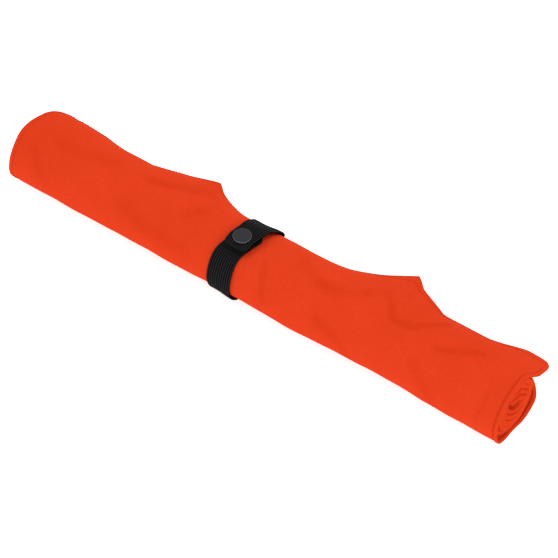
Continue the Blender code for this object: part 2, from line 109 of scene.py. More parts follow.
def connect(tree, node, inputs):
    """Set inputs of a node, each to a number, a colour or another node's output."""
    for name, value in inputs.items():
        if isinstance(value, bpy.types.NodeSocket):
            tree.links.new(value, node.inputs[name])
        else:
            node.inputs[name].default_value = value


def add_node(tree, kind, inputs=None, **settings):
    """Add one node with its settings and inputs."""
    made = tree.nodes.new(kind)
    for name, value in settings.items():
        setattr(made, name, value)
    connect(tree, made, inputs or {})
    return made


def math_node(tree, operation, *values, **settings):
    """The output of one Math node."""
    inputs = dict(enumerate(values))
    return add_node(tree, "ShaderNodeMath", inputs, operation=operation, **settings).outputs[0]


def new_material(name):
    """A material with an empty node tree, its shader and its output."""
    made = bpy.data.materials.new(name)
    made.use_nodes = True
    tree = made.node_tree
    tree.nodes.clear()
    shader = add_node(tree, "ShaderNodeBsdfPrincipled")
    add_node(tree, "ShaderNodeOutputMaterial", {"Surface": shader.outputs["BSDF"]})
    return made, tree, shader


floor_mesh = bpy.data.meshes.new("floor")
half_floor = FLOOR_SIZE / 2
floor_corners = [(x * half_floor, y * half_floor, 0) for x, y in ((-1, -1), (1, -1), (1, 1), (-1, 1))]
floor_mesh.from_pydata(floor_corners, [], [(0, 1, 2, 3)])
floor = bpy.data.objects.new("floor", floor_mesh)
bpy.context.scene.collection.objects.link(floor)
floor_paint, floor_tree, floor_shader = new_material("studio_floor_paint")
connect(floor_tree, floor_shader, {
    "Base Color": linear("#f7f7f7"), "Roughness": 0.95, "Specular IOR Level": 0.0,
    "Emission Color": (1.0, 1.0, 1.0, 1.0), "Emission Strength": FLOOR_GLOW})
floor_mesh.materials.append(floor_paint)


def soft_light(name, place, size, power):
    """A square light that faces the roll's middle."""
    data = bpy.data.lights.new(name, "AREA")
    data.size = size
    data.energy = power
    light = bpy.data.objects.new(name, data)
    flat = math.hypot(place[0], place[1])
    light.location = place
    light.rotation_euler = (math.atan2(flat, place[2]), 0, math.atan2(place[0], -place[1]))
    bpy.context.scene.collection.objects.link(light)


sky = bpy.data.worlds.new("studio_sky")
sky.use_nodes = True
sky_light = sky.node_tree.nodes["Background"]
connect(sky.node_tree, sky_light, {"Color": (1.0, 1.0, 1.0, 1.0), "Strength": SKY_STRENGTH})
bpy.context.scene.world = sky
soft_light("front_light", (0.9, -2.0, 1.5), 2.2, 15)
soft_light("top_light", (0.1, 1.0, 2.5), 2.2, 30)
bpy.context.scene.view_settings.view_transform = "Standard"
print("lights:", [light.name for light in bpy.data.lights])

# %% [markdown]
# ## The shape of the roll
#
# Any place on the cloth is given by two numbers: how far across it lies, which is along the
# roll, and its winding angle. Zero is the front, 90 the top and 180 the back. The free edge is
# at 168 degrees, and the angle falls from there, round and round, to the innermost turn. The
# roll, its tips and its strap have the sizes of the solids, give or take a few millimetres.

# %% Sizes of the roll and the strap
SHEET_WIDTH = 0.465
ROLL_RADIUS = 0.0305
AXIS_Z = 0.0293
TURNS = 6.0
CORE_RADIUS = 0.0038
INNER_TURNS_DROP = 0.0043
FIRST_TURN_DROP = 0.0026
INNER_RECESS = 0.0026
FREE_EDGE_ANGLE = 168.0
FLAP_START_ANGLE = 80.0
TIP_PULL_ANGLE = 28.0
LEFT_TIP = {"x": -0.075, "height": 0.0130,
            "rise": 0.056, "rise_power": 0.75, "drop": 0.034, "drop_power": 1.5}
MIDDLE_TIP = {"x": 0.112, "height": 0.0240,
              "rise": 0.080, "rise_power": 1.6, "drop": 0.054, "drop_power": 1.35}
TIP_STEP = 0.24  # past a tip the edge first drops by this share, in a short step
TIP_STEP_LENGTH = 0.0060
RIGHT_CORNER_HEIGHT = 0.0130
RIGHT_CORNER_X = 0.217
RIGHT_CORNER_RISE = 0.037
BETWEEN_TIPS_HEIGHT = 0.0067
LEFT_CORNER_HEIGHT = 0.0040
LEFT_CORNER_X = -0.148  # from here to the end the left corner lifts
LEFT_CORNER_RISE = 0.058
RIGHT_TONGUE = 0.0068  # the right outer corner reaches out this far past the end
LEFT_ROUNDING = 0.0080  # and the left one is drawn in
CORNER_REACH = 0.045  # both over this length of the roll
HALF_WIDTH = SHEET_WIDTH / 2
INNER_EDGE_ANGLE = FREE_EDGE_ANGLE - 360 * TURNS

STRAP_X = -0.0288
STRAP_LEAN = 0.0091
LEAN_OVER = (40.0, 70.0)  # it leans out from this angle, over this many degrees
LEAN_UNDER_LENGTH = 90.0  # and back over this many, from its hinge
STRAP_WIDTH = 0.022
STRAP = 0.0010  # thickness of the elastic
STRAP_BASE = ROLL_RADIUS + 0.0003
STRAP_GROOVE = STRAP + 0.0006
STRAP_HINGE_ANGLE = 150.0
PRESSED_MARGIN = 0.0018
PRESSED_SLOPE = 0.0030
SNAP_DENT = 0.0015
DENT_ANGLES = (55.0, 75.0, 88.0, 108.0)


def smoothstep(value):
    """3v^2 - 2v^3, with v held between 0 and 1."""
    value = np.clip(value, 0.0, 1.0)
    return value * value * (3.0 - 2.0 * value)


def grow(value, span):
    """Smoothstep from a start, over a length."""
    start, length = span
    return smoothstep((value - start) / length)


def bell(value):
    return np.exp(-value ** 2)


def round_edge(distance, radius):
    """A quarter circle: sqrt(1 - (1 - d/r)^2), from 0 at the edge to 1 at the radius and on."""
    return np.sqrt(1 - np.clip(1 - distance / radius, 0, 1) ** 2)


def polar(radius, angle):
    """Where a radius and a winding angle lie: y = -r cos(a), z = axis + r sin(a)."""
    turn = np.radians(angle)
    return -radius * np.cos(turn), AXIS_Z + radius * np.sin(turn)


def tip_height(x, tip):
    """Height of one tip off the roll: h times a rising power of x, then a step and a falling power."""
    rise = np.clip(1 + (x - tip["x"]) / tip["rise"], 0, 1) ** tip["rise_power"]
    step = smoothstep(1 - (x - tip["x"]) / TIP_STEP_LENGTH)
    drop = np.clip(1 - (x - tip["x"]) / tip["drop"], 0, 1) ** tip["drop_power"]
    drop = TIP_STEP * step + (1 - TIP_STEP) * drop
    return tip["height"] * np.where(x < tip["x"], rise, drop)


def edge_height(x):
    """How far the free edge stands off the roll: the highest of the two tips and the corner."""
    corner_rise = smoothstep((x - RIGHT_CORNER_X) / RIGHT_CORNER_RISE + 1)
    corner = BETWEEN_TIPS_HEIGHT + (RIGHT_CORNER_HEIGHT - BETWEEN_TIPS_HEIGHT) * corner_rise
    corner = np.where(x < MIDDLE_TIP["x"], 0, corner)
    corner = corner + LEFT_CORNER_HEIGHT * smoothstep((LEFT_CORNER_X - x) / LEFT_CORNER_RISE)
    return np.maximum(np.maximum(tip_height(x, LEFT_TIP), tip_height(x, MIDDLE_TIP)), corner)


def edge_angle(x):
    """The winding angle of the free edge: a high tip ends nearer the top."""
    return FREE_EDGE_ANGLE - TIP_PULL_ANGLE * edge_height(x) / MIDDLE_TIP["height"]


def turn_radius(angle):
    """Radius of the winding: level for most of a turn, then falling evenly to the core."""
    turn = (FREE_EDGE_ANGLE - angle) / 360
    turns = (0, 0.88, 1.0, 1.2, TURNS)
    first = ROLL_RADIUS - FIRST_TURN_DROP
    radii = (ROLL_RADIUS, ROLL_RADIUS, first, ROLL_RADIUS - INNER_TURNS_DROP, CORE_RADIUS)
    return np.interp(turn, turns, radii)


def strap_middle(angle):
    """Where the strap's middle lies along X: it leans to +X over the top and back behind."""
    angle = np.mod(angle, 360)
    under = grow(angle, (STRAP_HINGE_ANGLE, LEAN_UNDER_LENGTH))
    return STRAP_X + STRAP_LEAN * (grow(angle, LEAN_OVER) - under)


def snap_dent(angle):
    """How far the fastener presses the roll in, at each angle."""
    start, full, leave, end = DENT_ANGLES
    before = smoothstep((angle - start) / (full - start))
    return SNAP_DENT * before * smoothstep((end - angle) / (end - leave))


def pressed(x, angle):
    """One where the strap lies on the roll, and zero away from it."""
    beside = np.abs(x - strap_middle(angle)) - STRAP_WIDTH / 2 - PRESSED_MARGIN
    return np.clip(1 - beside / PRESSED_SLOPE, 0, 1)


wrap_low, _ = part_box("strap_wrap")
print("the strap's radius is", round(-wrap_low[1] * 1000, 2), "mm in the solids,",
      round((STRAP_BASE + STRAP) * 1000, 2), "mm here")

# %% [markdown]
# ## Folds
#
# Rolled cloth is never a true tube. It has long shallow folds where it was pulled, and a waist
# where the strap squeezes it. Each fold is a short line of points. The surface is pressed in
# along it, by a bell curve of the distance, and raised a little beside it. A slow random swell,
# the sum of a few long waves, keeps the rest from looking machined.

# %% Folds of the outer turn
# Each fold: points as (mm along the roll, angle), its half width in mm, its depth in mm.
FOLDS = (
    (((-215, 52), (-208, 31), (-198, 14)), 5.0, 0.4),
    (((-70, 128), (-92, 112), (-118, 96)), 6.0, 0.7),
    (((-60, 122), (-62, 98), (-76, 70)), 5.0, 0.6),
    (((-150, 95), (-175, 84), (-196, 78)), 7.0, 0.5),
    (((-128, 42), (-98, 26), (-66, 18)), 9.0, 0.4),
    (((3, 66), (7, 42), (12, 12)), 3.5, 0.7),
    (((28, 100), (44, 82), (66, 72)), 7.0, 0.5),
    (((100, 118), (118, 84), (134, 90), (152, 128)), 4.0, 0.8),
    (((92, 112), (78, 92), (52, 84)), 6.0, 0.6),
    (((160, 76), (175, 92), (192, 108)), 4.4, 0.7),
    (((214, 58), (215, 33), (211, 6)), 3.2, 0.5),
    (((109.6, 139), (115.4, 149)), 1.1, 0.4),
    (((-77.4, 152), (-71.6, 158)), 1.1, 0.4),
    (((60, 30), (84, 12), (92, -8)), 6.0, 0.5),
    (((150, 40), (166, 10), (172, -14)), 7.0, 0.5),
)
LOW_DENT = {"x": 0.115, "angle": -38.0, "reach_x": 0.036, "reach_angle": 26.0, "depth": 0.0019}
SWELL = 0.00022  # height of the random swell
SWELL_WAVES = 14
WAIST_REACH = 0.011  # the cloth rises from the strap to its full size over this length
WAIST_DEPTH = 0.0007


def line_distance(x, around, points):
    """Distance from each place to a line of points, in the flat cloth: least over its segments."""
    nearest = np.full(x.shape, np.inf)
    for (x0, s0), (x1, s1) in zip(points[:-1], points[1:]):
        step_x, step_s = x1 - x0, s1 - s0
        along = ((x - x0) * step_x + (around - s0) * step_s) / (step_x ** 2 + step_s ** 2)
        along = np.clip(along, 0, 1)
        nearest = np.minimum(nearest, np.hypot(x - x0 - along * step_x, around - s0 - along * step_s))
    return nearest


def fold_depth(x, angle):
    """Sum over the folds of depth * (exp(-d^2) - 0.45 exp(-(d - 1.9)^2)), d in half widths."""
    around = np.radians(angle) * ROLL_RADIUS
    total = np.zeros(x.shape)
    for points, width, depth in FOLDS:
        line = [(mm / 1000, math.radians(degrees) * ROLL_RADIUS) for mm, degrees in points]
        off = line_distance(x, around, line) / (width / 1000)
        total += depth / 1000 * (bell(off) - 0.45 * bell(off - 1.9))
    return total


def swell(x, angle):
    """A sum of long sine waves with seeded directions, lengths of 25 to 90 mm and phases."""
    chance = np.random.default_rng(7)
    around = np.radians(angle) * ROLL_RADIUS
    total = np.zeros(x.shape)
    for _ in range(SWELL_WAVES):
        length = chance.uniform(0.025, 0.090)
        heading = chance.uniform(0, math.pi)
        phase = chance.uniform(0, 2 * math.pi)
        along = x * math.cos(heading) + around * math.sin(heading)
        total += np.sin(along * 2 * math.pi / length + phase)
    return total * SWELL * math.sqrt(2 / SWELL_WAVES)


def outer_shape(x, angle):
    """How far the outer turn stands off the even roll: folds, swell, waist and the low dent."""
    beside = np.clip(np.abs(x - strap_middle(angle)) - STRAP_WIDTH / 2, 0, None)
    waist = WAIST_DEPTH * bell(beside / WAIST_REACH)
    dent = LOW_DENT["depth"] * np.exp(
        -((x - LOW_DENT["x"]) / LOW_DENT["reach_x"]) ** 2
        - ((angle - LOW_DENT["angle"]) / LOW_DENT["reach_angle"]) ** 2)
    return swell(x, angle) - fold_depth(x, angle) - waist - dent


print(len(FOLDS), "folds, the deepest", max(depth for _, _, depth in FOLDS), "mm")


# %% [markdown]
# ## The winding
#
# Inside, the turns are loose and wavy. Cloth simulation could roll them up, but a formula keeps
# the layers apart and gives the same shape each run. Every turn follows the same waves as the
# one outside it, and all sag to the same side, so they never cross. Their ends stand in and out.

# %% Points of the rolled sheet
INNER_WAVE = 0.0019  # height of the inner turns' waves at the core
INNER_START = 1.02  # the turn where they begin
RAGGED = 0.0016  # the turns' ends stand in and out by this much
CORE_SHIFT = 0.0050  # the inner turns sag by this much
SAG_ANGLE = 228.0  # to the back and down
SAG_TURNS = (1.15, 0.7)  # from this turn, over this many
TONGUE_DROOP = 0.0022  # the right corner hangs down by this much
DROOP_PLACES = (0.227, 0.012)
TONGUE_ANGLES = (104, 22)  # the right corner reaches out from this angle, over this many degrees
ROUNDING_ANGLES = (60, 90)  # and the left one is drawn in
UNDER_ANGLES = (-80, 40)  # the outer turn's end is drawn in under the roll: a bell curve
BEHIND_ANGLES = (-145, -50)  # and behind it: a step
BEHIND_SHARE = 1.6
FRONT_RECESS = 0.0038  # the inner turns end this much deeper at the front than at the back
BACK_RECESS = 0.0034  # the outer turn ends this far short under the right end
CORNER_RADIUS = 0.0085  # the sheet's right outer corner is cut round
LEFT_CORNER_RADIUS = 0.027  # and the left one, which is folded back, much rounder


def inner_wave(angle):
    """Waves of the inner turns: a few sines of the angle, strongest at the top and the back."""
    turn = (FREE_EDGE_ANGLE - angle) / 360
    grown = smoothstep((turn - INNER_START) / 0.5) * (0.55 + 0.45 * turn / TURNS)
    place = np.radians(angle)
    upper = 0.45 + 0.55 * np.clip(np.sin(place - 0.6), 0, 1)
    wave = (0.45 * np.sin(6 * place + 0.4) + 0.40 * np.sin(10 * place + 2.1)
            + 0.5 * np.sin(2 * place + 1.0))
    return INNER_WAVE * grown * upper * wave


def sheet_point(across, angle, depth):
    """A point of the sheet at a depth under its outer face.

    In polar terms r = turn radius + flap + folds - depth. The flap rises with the square of the
    distance from the top of the roll. Under the roll nothing goes below the floor.
    """
    flap = np.clip((angle - FLAP_START_ANGLE) / (edge_angle(across) - FLAP_START_ANGLE), 0, None)
    turn = (FREE_EDGE_ANGLE - angle) / 360
    outer = smoothstep((1.02 - turn) / 0.06)
    near_end = np.clip((np.abs(across) - HALF_WIDTH) / CORNER_REACH + 1, 0, 1)
    tongue = RIGHT_TONGUE * grow(angle, TONGUE_ANGLES) * (across > 0)
    rounding = LEFT_ROUNDING * grow(angle, ROUNDING_ANGLES) * (across < 0)
    inner = smoothstep(turn * 4 - 3.8)
    front = 0.5 + 0.5 * np.cos(np.radians(angle))
    ragged = inner * (RAGGED * np.sin(turn * 5.3 + 0.9) - FRONT_RECESS * front) * np.sign(across)
    back = bell((angle - UNDER_ANGLES[0]) / UNDER_ANGLES[1]) + BEHIND_SHARE * grow(angle, BEHIND_ANGLES)
    back = -BACK_RECESS * back * (1 - inner) * (across > 0)
    from_free_edge = np.radians(edge_angle(across) - angle) * ROLL_RADIUS
    corner = np.where(across > 0, CORNER_RADIUS, LEFT_CORNER_RADIUS)
    short = np.clip(corner - from_free_edge, 0, corner)
    cut = -np.sign(across) * (corner - np.sqrt(corner ** 2 - short ** 2))
    near_corner = np.clip((np.abs(across) - HALF_WIDTH) / (3 * corner) + 1, 0, 1)
    x = across * (1 - INNER_RECESS / HALF_WIDTH * inner)
    x = x + near_end * (tongue + rounding + ragged + back) + near_corner * cut
    radius = turn_radius(angle) + edge_height(across) * flap ** 2
    radius = radius + outer * outer_shape(x, angle) + inner_wave(angle)
    sag = np.cos(np.radians(angle - SAG_ANGLE))
    radius = radius + CORE_SHIFT * sag * grow(turn, SAG_TURNS)
    radius = radius - depth - snap_dent(angle) * pressed(x, angle)
    y, z = polar(radius, angle)
    z = z - TONGUE_DROOP * grow(x, DROOP_PLACES) * outer * flap
    z = np.maximum(z, STRAP_GROOVE * pressed(x, angle) + np.clip(depth, 0, None))
    return np.stack([x, y, z], axis=-1)


tips_at = np.array([LEFT_TIP["x"], MIDDLE_TIP["x"]])
print("the tips stand off", np.round(edge_height(tips_at) * 1000, 1), "mm")


# %% [markdown]
# ## The cloth and its hems
#
# The edges are turned over once and sewn, so there the sheet is about three times as thick, and
# the stitches pull it in along a line. It could be a sheet with strips laid on it, but one
# surface of changing thickness has no seams to show. It is an outer and an inner grid, joined
# round the rim. They are fine on the outer turn, and coarse inside, where nothing is seen.

# %% Grids of the sheet
CLOTH = 0.0007  # the coated cloth's thickness
HEM_WIDTH = 0.0029
HEM_STEP = 0.0003  # the hem's fold falls to the sheet over this length
HEM_OUT = 0.00060  # the hem stands this far outside the sheet's face
HEM_IN = 0.0006  # and this far inside it
LEFT_HEM = 0.10  # the left hem is pressed flat to this share
SWOLLEN_EDGE = 0.0026  # the inner turns' loose ends are this much thicker than the cloth
SWOLLEN_ROUND = 0.0007  # rounded over this length
SWOLLEN_REACH = 0.012  # and back to the cloth's thickness this far in
SEAM = 0.0034  # the line of stitches, from the edge
TONGUE_LENGTH = 0.022  # the side seam is flat over this length from the free edge
TONGUE_FADE = 0.018  # and comes in over this length
SEAM_WIDTH = 0.00080
SEAM_DIP = 0.00090
END_SEAM = 0.2  # the seams along the free and the inner edge dip by this share
EDGE_STEPS = np.array([0, 0.1, 0.3, 0.6, 1.1, 1.7, 2.2, 2.6, 2.9, 3.1, 3.4, 3.7, 4.0, 4.8]) / 1000
EDGE_ROUND = 0.0007  # the rim's rounding
RIM_LEAST = 0.08  # the share of the thickness left at the rim itself
COLUMN_STEP = 0.0028
FLAP_ROWS = 24  # rows of the flap, between its edge and the top of the roll
ROW_STEP = 3.3  # degrees, on the outer turn
INNER_ROW_STEP = 4.6  # degrees, further in
COARSE_EVERY = 16  # of the middle columns, one in this many goes on inside
OUTER_TURNS = 1.08  # the fine grid goes on for this many turns
OUTER_END_ANGLE = FREE_EDGE_ANGLE - 360 * OUTER_TURNS


def hem_faces(from_side, from_end):
    """How far the outer and inner faces stand off the sheet's outer face, near its edges.

    A hem adds a flat step that ends at its width, the seam takes away a bell curve at its line,
    and a quarter circle rounds the rim.
    """
    steps = [smoothstep((HEM_WIDTH - t) / HEM_STEP + 0.5) for t in (from_side, from_end)]
    seams = [bell((t - SEAM) / SEAM_WIDTH) for t in (from_side, from_end)]
    rims = [round_edge(t, EDGE_ROUND) for t in (from_side, from_end)]
    hem = np.maximum(*steps)
    seams[0] = seams[0] * grow(from_end, (TONGUE_LENGTH, TONGUE_FADE))
    seam = np.maximum(seams[0], END_SEAM * seams[1]) * (1 - hem)
    rim = RIM_LEAST + (1 - RIM_LEAST) * np.minimum(*rims)
    outer = HEM_OUT * hem - SEAM_DIP * seam
    inner = -CLOTH - HEM_IN * hem + 0.3 * SEAM_DIP * seam
    middle = (outer + inner) / 2
    return middle + (outer - middle) * rim, middle + (inner - middle) * rim


middle_columns = np.linspace(-HALF_WIDTH + EDGE_STEPS[-1], HALF_WIDTH - EDGE_STEPS[-1],
                             int(SHEET_WIDTH / COLUMN_STEP))
edge_columns = len(EDGE_STEPS) - 1
columns = np.concatenate([EDGE_STEPS[:-1] - HALF_WIDTH, middle_columns, HALF_WIDTH - EDGE_STEPS[-2::-1]])
for tip in (LEFT_TIP, MIDDLE_TIP):
    columns[np.abs(columns - tip["x"]).argmin()] = tip["x"]
outer_rows = np.linspace(FLAP_START_ANGLE, OUTER_END_ANGLE,
                         int((FLAP_START_ANGLE - OUTER_END_ANGLE) / ROW_STEP))
inner_steps = np.degrees(EDGE_STEPS / (CORE_RADIUS - CLOTH / 2))
inner_rows = np.linspace(OUTER_END_ANGLE, INNER_EDGE_ANGLE + inner_steps[-1],
                         int((OUTER_END_ANGLE - INNER_EDGE_ANGLE) / INNER_ROW_STEP))[1:-1]

flap_start = edge_angle(columns)[None, :] - np.degrees(EDGE_STEPS / ROLL_RADIUS)[:, None]
flap_share = np.linspace(0, 1, FLAP_ROWS)[1:-1, None]
flap_rows = flap_start[-1] + (FLAP_START_ANGLE - flap_start[-1]) * flap_share
plain_rows = np.concatenate([outer_rows, inner_rows, (INNER_EDGE_ANGLE + inner_steps)[::-1]])
angle_grid = np.concatenate([flap_start, flap_rows, np.repeat(plain_rows[:, None], len(columns), axis=1)])
across_grid = np.broadcast_to(columns, angle_grid.shape)
fine_rows = len(flap_start) + len(flap_rows) + len(outer_rows)

even_outer = sheet_point(across_grid, angle_grid, 0.0)
row_steps = np.linalg.norm(np.diff(even_outer[:, len(columns) // 2], axis=0), axis=1)
cloth_length = np.concatenate([[0], np.cumsum(row_steps)])
SHEET_LENGTH = float(cloth_length[-1])
from_end_line = np.minimum(cloth_length, SHEET_LENGTH - cloth_length)
from_side_line = HALF_WIDTH - np.abs(columns)
out_face, in_face = hem_faces(from_side_line[None, :], from_end_line[:, None])
under_strap = pressed(even_outer[..., 0], angle_grid)
flatten = (1 - under_strap) * np.where(columns < 0, LEFT_HEM, 1.0)[None, :]
out_face = out_face * flatten
inside_turn = smoothstep(((FREE_EDGE_ANGLE - angle_grid) / 360 - 1.05) / 0.1)
near_right = smoothstep((SWOLLEN_REACH - from_side_line) / 0.008)[None, :] * (columns > 0)
rounded = np.sqrt(np.clip(from_side_line / SWOLLEN_ROUND, 0, 1))[None, :]
swollen = inside_turn * near_right * SWOLLEN_EDGE * rounded
out_face = out_face + swollen * 0.5
in_face = in_face - swollen * 0.5
outer_grid = sheet_point(across_grid, angle_grid, -out_face)
inner_grid = sheet_point(across_grid, angle_grid, -in_face)
cloth_uv = np.stack(np.broadcast_arrays(columns[None, :], cloth_length[:, None]), axis=-1)
print("the sheet is", round(SHEET_WIDTH * 1000), "by", round(SHEET_LENGTH * 1000), "mm,",
      angle_grid.shape, "points")

# %% A closed slab from two grids
def link_object(name, mesh, material):
    mesh.materials.append(material)
    made = bpy.data.objects.new(name, mesh)
    bpy.context.scene.collection.objects.link(made)
    return made


def mesh_from(name, points, faces, uv=None, sharp=None):
    """A smooth closed mesh with outward faces. A UV map, if any, is given per point, in metres."""
    mesh = bpy.data.meshes.new(name)
    mesh.from_pydata(points.reshape(-1, 3), [], faces)
    bm = bmesh.new()
    bm.from_mesh(mesh)
    loose = [vertex for vertex in bm.verts if not vertex.link_faces]
    if uv is not None:
        layer = bm.loops.layers.uv.new("cloth")
        for face in bm.faces:
            for loop in face.loops:
                loop[layer].uv = uv[loop.vert.index]
    bmesh.ops.delete(bm, geom=loose, context="VERTS")
    bmesh.ops.recalc_face_normals(bm, faces=bm.faces)
    bm.to_mesh(mesh)
    bm.free()
    mesh.shade_smooth()
    if sharp is not None:
        mesh.set_sharp_from_angle(angle=math.radians(sharp))
    return mesh


def quads(indices):
    """The four corners of every cell of a grid of point numbers."""
    corners = [indices[:-1, :-1], indices[1:, :-1], indices[1:, 1:], indices[:-1, 1:]]
    return np.stack(corners, axis=-1).reshape(-1, 4)


def slab_faces(rows, count, kept=None, fine=None):
    """Faces between two grids of rows by count points, closed round the rim.

    Past the row numbered fine, only the kept columns go on. The strip between the two grids is
    made of faces with an extra corner for each column that stops there.
    """
    both = np.arange(2 * rows * count).reshape(2, rows, count)
    fine = rows if fine is None else fine
    kept = np.arange(count) if kept is None else kept
    faces = []
    for side in both:
        faces += quads(side[:fine]).tolist()
        if fine < rows:
            faces += quads(side[fine:][:, kept]).tolist()
            for a, b in zip(kept[:-1], kept[1:]):
                faces.append(side[fine - 1, a:b + 1].tolist() + [side[fine, b], side[fine, a]])
    for j in (0, count - 1):
        faces += quads(both[:, :, j].T).tolist()
    faces += quads(both[:, 0, :].T).tolist()
    faces += quads(both[:, -1, kept].T).tolist()
    return [tuple(int(i) for i in face) for face in faces]


def slab(name, outer, inner, uv, material, kept=None, fine=None):
    """A closed slab between two grids of points, with the same UV on both faces."""
    points = np.stack([outer, inner])
    flat_uv = np.stack([uv, uv]).reshape(-1, 2)
    faces = slab_faces(outer.shape[0], outer.shape[1], kept, fine)
    mesh = mesh_from(name, points, faces, flat_uv)
    return link_object(name, mesh, material)


# %% [markdown]
# ## Coated glass cloth
#
# The cloth is woven from glass yarn and coated with orange-red silicone rubber. The coating
# fills the weave, so the surface is matt and even, with the weave showing through as a faint
# texture. The true yarns are 0.5 mm apart, too fine to show, so they are drawn 0.8 mm apart. The
# silicone is mottled by dust. Painted shade darkens it in the folds and in a line along the right
# seam. Inside the roll the cloth gets a darker colour, as painted shade, and a faint glow, as
# painted light, so the inner turns look slightly lit.

# %% Cloth material
WEAVE = 0.0008
CLOTH_COLOUR = "#c7381b"
CLOTH_DARK = "#ba3011"
# Inside the roll: a darker colour as painted shade, and a glow colour and strength as painted light.
CLOTH_INSIDE_SHADE = "#ac2a11"
INSIDE_PAINTED_GLOW_COLOUR = "#e04a1c"
# Painted shade by the right seam.
CLOTH_GROOVE_SHADE = "#b32b0c"
INSIDE_PAINTED_GLOW = 0.30
GROOVE_SHADE_REACH = 0.0014  # the painted shade line on each side of the right seam


def map_range(tree, value, low, high, to_low=0.0, to_high=1.0, kind="LINEAR"):
    """The output of a Map Range node, which takes low and high to two other values."""
    inputs = {"Value": value, "From Min": low, "From Max": high, "To Min": to_low, "To Max": to_high}
    return add_node(tree, "ShaderNodeMapRange", inputs, interpolation_type=kind).outputs[0]


def cloth_place(tree):
    """Outputs X and Y: the place across and along the cloth or the band, in metres."""
    uv = add_node(tree, "ShaderNodeUVMap", uv_map="cloth")
    return add_node(tree, "ShaderNodeSeparateXYZ", {"Vector": uv.outputs["UV"]}).outputs


def attribute(tree, name):
    return add_node(tree, "ShaderNodeAttribute", attribute_name=name).outputs["Fac"]


def mottle(tree, scale, low, high, detail=3.0):
    """Soft blotches: noise in Object coordinates, stretched to run from low to high."""
    place = add_node(tree, "ShaderNodeTexCoord").outputs["Object"]
    inputs = {"Vector": place, "Scale": scale, "Detail": detail, "Roughness": 0.6}
    noise = add_node(tree, "ShaderNodeTexNoise", inputs)
    return map_range(tree, noise.outputs["Fac"], 0.3, 0.7, low, high)


def blend_colours(tree, share, first, second):
    """Mix two colours, or two colour outputs, by a share."""
    return add_node(tree, "ShaderNodeMix", {0: share, 6: first, 7: second}, data_type="RGBA").outputs[2]


def bump(tree, height, strength, distance):
    """A Bump node's output, from a height."""
    inputs = {"Height": height, "Strength": strength, "Distance": distance}
    return add_node(tree, "ShaderNodeBump", inputs).outputs["Normal"]


def cloth_material():
    """Blotches and dust darken the cloth, painted shade darkens its folds and the right seam's line, the
    inside gets painted shade and a painted glow, and a bump of two crossed sines is its weave.
    """
    made, tree, shader = new_material("silicone_coated_glass_cloth")
    place = cloth_place(tree)
    across, along = (math_node(tree, "SINE", math_node(tree, "MULTIPLY", place[axis], math.pi / WEAVE))
                     for axis in ("X", "Y"))
    weave = math_node(tree, "MULTIPLY", across, along)
    fine_dust = mottle(tree, 420.0, 0.0, 0.30, detail=2.0)
    shade = math_node(tree, "MULTIPLY", mottle(tree, 26.0, 0.0, 1.0), 0.35)
    shade = math_node(tree, "ADD", shade, fine_dust)
    # Painted shade: the fold attribute darkens the cloth in its folds.
    shade = math_node(tree, "ADD", shade, attribute(tree, "fold"), use_clamp=True)
    colour = blend_colours(tree, shade, linear(CLOTH_COLOUR), linear(CLOTH_DARK))
    # Painted shade: a dark line on each side of the right seam, from the flat tongue on.
    off_seam = math_node(tree, "ABSOLUTE", math_node(tree, "SUBTRACT", place["X"], HALF_WIDTH - SEAM))
    groove = map_range(tree, off_seam, 0.0, GROOVE_SHADE_REACH, 1.0, 0.0, kind="SMOOTHSTEP")
    past_tongue = map_range(tree, place["Y"], TONGUE_LENGTH, TONGUE_LENGTH + TONGUE_FADE)
    groove = math_node(tree, "MULTIPLY", groove, past_tongue)
    colour = blend_colours(tree, groove, colour, linear(CLOTH_GROOVE_SHADE))
    # Inside the roll: a darker colour as painted shade, and an emitted glow as painted light.
    inside = attribute(tree, "inside")
    colour = blend_colours(tree, inside, colour, linear(CLOTH_INSIDE_SHADE))
    painted_glow = blend_colours(tree, inside, (0.0, 0.0, 0.0, 1.0), linear(INSIDE_PAINTED_GLOW_COLOUR))
    normal = bump(tree, math_node(tree, "ADD", weave, fine_dust), 0.35, 0.00012)
    connect(tree, shader, {
        "Base Color": colour, "Roughness": mottle(tree, 60.0, 0.82, 0.94), "Specular IOR Level": 0.01,
        "Emission Color": painted_glow, "Emission Strength": INSIDE_PAINTED_GLOW, "Normal": normal})
    return made


glass_cloth = cloth_material()
print(glass_cloth.name, "has", len(glass_cloth.node_tree.nodes), "nodes")

# %% The blanket
# Painted shade in the folds: a fold's depth sets how much of the dark colour is painted there.
FOLD_SHADE = 700  # a fold's depth in metres times this is its share of the dark colour

middle_numbers = np.arange(edge_columns, len(columns) - edge_columns)
kept_middle = np.unique(np.concatenate([middle_numbers[::COARSE_EVERY], middle_numbers[-1:]]))
kept_columns = np.concatenate([
    np.arange(edge_columns), kept_middle, np.arange(len(columns) - edge_columns, len(columns))])
blanket = slab("blanket_cloth", outer_grid, inner_grid, cloth_uv, glass_cloth, kept_columns, fine_rows)


def vertex_vectors(mesh, what):
    """The places or normals of a mesh's vertices, as three rows."""
    values = np.empty(len(mesh.vertices) * 3)
    mesh.vertices.foreach_get(what, values)
    return values.reshape(-1, 3).T


def set_attribute(mesh, name, values):
    """Store one number per vertex for the materials to read."""
    mesh.attributes.new(name, "FLOAT", "POINT").data.foreach_set("value", values.astype(np.float32))


